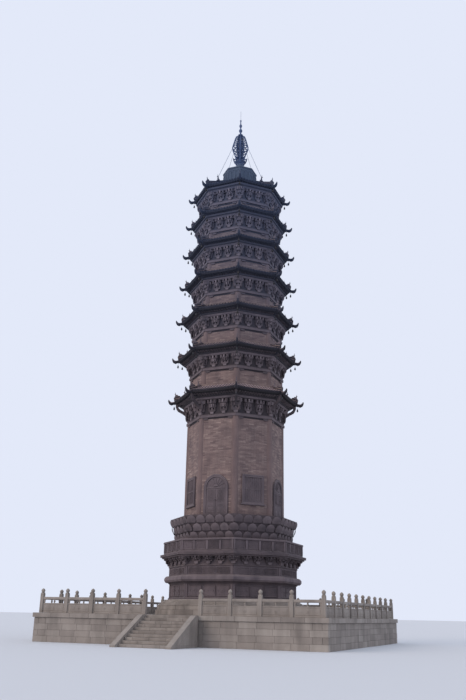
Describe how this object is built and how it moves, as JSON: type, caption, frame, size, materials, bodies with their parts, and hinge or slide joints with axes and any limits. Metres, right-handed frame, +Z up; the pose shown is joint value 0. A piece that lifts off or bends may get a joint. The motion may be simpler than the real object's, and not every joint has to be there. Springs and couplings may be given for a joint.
{
  "type": "octagonal dense-eave brick pagoda",
  "caption": "Solid octagonal brick pagoda with stacked tiled eaves, bracket cornices, a lotus seat on a carved pedestal, an iron finial and a balustraded stone terrace.",
  "frame": {"origin": "on the ground under the middle of the tower, on the terrace's flat underside", "axes": "+Z up, +Y to the back; the steps are on the -Y side, and a face of the tower looks along -Y"},
  "size_m": [17.4, 20.4003, 39.43],
  "materials": {
    "wall_brick": "grey-brown fired brick in thin mortar, weathered",
    "carved_brick": "carved grey brick, darkened in the hollows",
    "roof_tile": "unglazed grey clay tile, weathered",
    "dressed_stone": "dressed pale limestone",
    "finial_iron": "old cast and wrought iron, dark and dull"
  },
  "bodies": {
    "root": {"terrace": "dressed_stone", "terrace_coping": "dressed_stone", "front_steps": "dressed_stone", "steps_cheek_left": "dressed_stone", "steps_cheek_right": "dressed_stone", "balustrade_front_left": "dressed_stone", "balustrade_front_right": "dressed_stone", "balustrade_right": "dressed_stone", "balustrade_back": "dressed_stone", "balustrade_left": "dressed_stone", "plinth": "dressed_stone", "lower_waist": "carved_brick", "upper_waist": "carved_brick", "gallery": "carved_brick", "parapet": "carved_brick", "lotus_seat": "carved_brick", "storey_1_wall": "wall_brick", "storey_1_cornice": "carved_brick", "storey_1_eave": "roof_tile", "storey_2_wall": "wall_brick", "storey_2_cornice": "carved_brick", "storey_2_eave": "roof_tile", "storey_3_wall": "wall_brick", "storey_3_cornice": "carved_brick", "storey_3_eave": "roof_tile", "storey_4_wall": "wall_brick", "storey_4_cornice": "carved_brick", "storey_4_eave": "roof_tile", "storey_5_wall": "wall_brick", "storey_5_cornice": "carved_brick", "storey_5_eave": "roof_tile", "storey_6_wall": "wall_brick", "storey_6_cornice": "carved_brick", "storey_6_eave": "roof_tile", "storey_7_wall": "wall_brick", "storey_7_cornice": "carved_brick", "storey_7_eave": "roof_tile", "false_door_front": "carved_brick", "false_window_front_right": "carved_brick", "false_door_right": "carved_brick", "false_window_back_right": "carved_brick", "false_door_back": "carved_brick", "false_window_back_left": "carved_brick", "false_door_left": "carved_brick", "false_window_front_left": "carved_brick", "finial_bowl": "roof_tile", "finial_petals": "finial_iron", "finial_crown": "finial_iron", "finial_spire": "finial_iron", "finial_stay_1": "finial_iron", "finial_stay_2": "finial_iron", "finial_stay_3": "finial_iron", "finial_stay_4": "finial_iron"}
  },
  "joints": []
}
